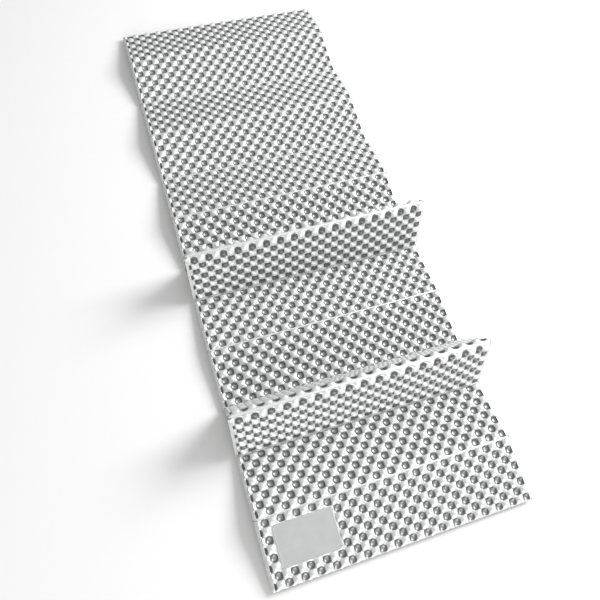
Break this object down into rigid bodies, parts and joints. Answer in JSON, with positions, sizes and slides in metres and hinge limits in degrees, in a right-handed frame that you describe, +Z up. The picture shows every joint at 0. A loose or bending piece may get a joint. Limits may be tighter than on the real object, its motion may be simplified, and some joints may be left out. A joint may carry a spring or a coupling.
{
  "type": "foam sleeping pad",
  "caption": "Accordion-fold egg-crate foam sleeping pad with a foil face, folds that open and close in pairs like tents, and loose elastic packing bands.",
  "frame": {"origin": "on the ground, under the middle of the pad's outline in its half-open rest pose", "axes": "+X across the pad, to the right as seen from the labelled end; +Y along the pad, away from the labelled end; +Z up"},
  "size_m": [0.56, 1.4948, 0.1379],
  "materials": {
    "foam": "matte closed-cell foam, olive green, with a fine pressed grain",
    "foil": "silver film bonded to the foam, semi-matte",
    "label": "smooth plain grey patch, satin",
    "elastic": "black woven elastic"
  },
  "bodies": {
    "panel_01": {"foam_panel_01": "foam", "foil_face_01": "foil", "ridge_fold_01": "foam"},
    "panel_02": {"foam_panel_02": "foam", "foil_face_02": "foil"},
    "panel_03": {"foam_panel_03": "foam", "foil_face_03": "foil", "ridge_fold_03": "foam"},
    "panel_04": {"foam_panel_04": "foam", "foil_face_04": "foil"},
    "panel_05": {"foam_panel_05": "foam", "foil_face_05": "foil", "ridge_fold_05": "foam"},
    "panel_06": {"foam_panel_06": "foam", "foil_face_06": "foil"},
    "panel_07": {"foam_panel_07": "foam", "foil_face_07": "foil", "ridge_fold_07": "foam"},
    "panel_08": {"foam_panel_08": "foam", "foil_face_08": "foil"},
    "panel_09": {"foam_panel_09": "foam", "foil_face_09": "foil", "ridge_fold_09": "foam"},
    "panel_10": {"foam_panel_10": "foam", "foil_face_10": "foil"},
    "panel_11": {"foam_panel_11": "foam", "foil_face_11": "foil", "ridge_fold_11": "foam"},
    "panel_12": {"foam_panel_12": "foam", "foil_face_12": "foil"},
    "panel_13": {"foam_panel_13": "foam", "foil_face_13": "foil", "ridge_fold_13": "foam"},
    "panel_14": {"foam_panel_14": "foam", "foil_face_14": "foil", "label_patch": "label"},
    "valley_02": {"valley_fold_02": "foam"},
    "valley_04": {"valley_fold_04": "foam"},
    "valley_06": {"valley_fold_06": "foam"},
    "valley_08": {"valley_fold_08": "foam"},
    "valley_10": {"valley_fold_10": "foam"},
    "valley_12": {"valley_fold_12": "foam"},
    "band_left": {"packing_band_left": "elastic"},
    "band_right": {"packing_band_right": "elastic"}
  },
  "joints": [
    {"name": "tent_4_first_foot_crease", "type": "hinge", "parent": "valley_06", "child": "panel_07", "pos_m": [0, -0.03602, 0.01295], "axis": [-1, 0, 0], "range_deg": [-75, 15]},
    {"name": "tent_4_ridge_crease", "type": "hinge", "parent": "panel_07", "child": "panel_08", "pos_m": [0, -0.07812, 0.13646], "axis": [-1, 0, 0], "range_deg": [-30, 150]},
    {"name": "tent_4_second_foot_crease", "type": "hinge", "parent": "panel_08", "child": "valley_08", "pos_m": [0, -0.12022, 0.01295], "axis": [-1, 0, 0], "range_deg": [-75, 15]},
    {"name": "tent_5_first_foot_crease", "type": "hinge", "parent": "valley_08", "child": "panel_09", "pos_m": [0, -0.12182, 0.01295], "axis": [-1, 0, 0], "range_deg": [-5, 85]},
    {"name": "tent_5_ridge_crease", "type": "hinge", "parent": "panel_09", "child": "panel_10", "pos_m": [0, -0.25229, 0.01563], "axis": [-1, 0, 0], "range_deg": [-170, 10]},
    {"name": "tent_5_second_foot_crease", "type": "hinge", "parent": "panel_10", "child": "valley_10", "pos_m": [0, -0.38275, 0.01295], "axis": [-1, 0, 0], "range_deg": [-5, 85]},
    {"name": "tent_6_first_foot_crease", "type": "hinge", "parent": "valley_10", "child": "panel_11", "pos_m": [0, -0.38435, 0.01295], "axis": [-1, 0, 0], "range_deg": [-71, 19]},
    {"name": "tent_6_ridge_crease", "type": "hinge", "parent": "panel_11", "child": "panel_12", "pos_m": [0, -0.43496, 0.13322], "axis": [-1, 0, 0], "range_deg": [-38, 142]},
    {"name": "tent_6_second_foot_crease", "type": "hinge", "parent": "panel_12", "child": "valley_12", "pos_m": [0, -0.48558, 0.01295], "axis": [-1, 0, 0], "range_deg": [-71, 19]},
    {"name": "tent_7_first_foot_crease", "type": "hinge", "parent": "valley_12", "child": "panel_13", "pos_m": [0, -0.48718, 0.01295], "axis": [-1, 0, 0], "range_deg": [-10, 80]},
    {"name": "tent_7_ridge_crease", "type": "hinge", "parent": "panel_13", "child": "panel_14", "pos_m": [0, -0.61691, 0.02699], "axis": [-1, 0, 0], "range_deg": [-160, 20]},
    {"name": "tent_3_first_foot_crease", "type": "hinge", "parent": "valley_06", "child": "panel_06", "pos_m": [0, -0.03442, 0.01295], "axis": [1, 0, 0], "range_deg": [-10, 80]},
    {"name": "tent_3_ridge_crease", "type": "hinge", "parent": "panel_06", "child": "panel_05", "pos_m": [0, 0.09531, 0.02699], "axis": [1, 0, 0], "range_deg": [-160, 20]},
    {"name": "tent_3_second_foot_crease", "type": "hinge", "parent": "panel_05", "child": "valley_04", "pos_m": [0, 0.22505, 0.01295], "axis": [1, 0, 0], "range_deg": [-10, 80]},
    {"name": "tent_2_first_foot_crease", "type": "hinge", "parent": "valley_04", "child": "panel_04", "pos_m": [0, 0.22665, 0.01295], "axis": [1, 0, 0], "range_deg": [-10, 80]},
    {"name": "tent_2_ridge_crease", "type": "hinge", "parent": "panel_04", "child": "panel_03", "pos_m": [0, 0.35638, 0.02699], "axis": [1, 0, 0], "range_deg": [-160, 20]},
    {"name": "tent_2_second_foot_crease", "type": "hinge", "parent": "panel_03", "child": "valley_02", "pos_m": [0, 0.48611, 0.01295], "axis": [1, 0, 0], "range_deg": [-10, 80]},
    {"name": "tent_1_first_foot_crease", "type": "hinge", "parent": "valley_02", "child": "panel_02", "pos_m": [0, 0.48771, 0.01295], "axis": [1, 0, 0], "range_deg": [-11, 79]},
    {"name": "tent_1_ridge_crease", "type": "hinge", "parent": "panel_02", "child": "panel_01", "pos_m": [0, 0.61718, 0.02925], "axis": [1, 0, 0], "range_deg": [-158, 22]},
    {"name": "band_left_slide", "type": "slide", "parent": "valley_12", "child": "band_left", "axis": [-1, 0, 0], "range_m": [0, 0.32]},
    {"name": "band_right_slide", "type": "slide", "parent": "valley_12", "child": "band_right", "axis": [1, 0, 0], "range_m": [0, 0.32]}
  ],
  "couplings": [
    {"joint": "tent_4_first_foot_crease", "follows": "tent_4_ridge_crease", "ratio": -0.5},
    {"joint": "tent_4_second_foot_crease", "follows": "tent_4_ridge_crease", "ratio": -0.5},
    {"joint": "tent_5_first_foot_crease", "follows": "tent_5_ridge_crease", "ratio": -0.5},
    {"joint": "tent_5_second_foot_crease", "follows": "tent_5_ridge_crease", "ratio": -0.5},
    {"joint": "tent_6_first_foot_crease", "follows": "tent_6_ridge_crease", "ratio": -0.5},
    {"joint": "tent_6_second_foot_crease", "follows": "tent_6_ridge_crease", "ratio": -0.5},
    {"joint": "tent_7_first_foot_crease", "follows": "tent_7_ridge_crease", "ratio": -0.5},
    {"joint": "tent_3_ridge_crease", "follows": "tent_3_first_foot_crease", "ratio": -2},
    {"joint": "tent_3_second_foot_crease", "follows": "tent_3_first_foot_crease", "ratio": 1},
    {"joint": "tent_2_first_foot_crease", "follows": "tent_2_ridge_crease", "ratio": -0.5},
    {"joint": "tent_2_second_foot_crease", "follows": "tent_2_ridge_crease", "ratio": -0.5},
    {"joint": "tent_1_first_foot_crease", "follows": "tent_1_ridge_crease", "ratio": -0.5}
  ]
}
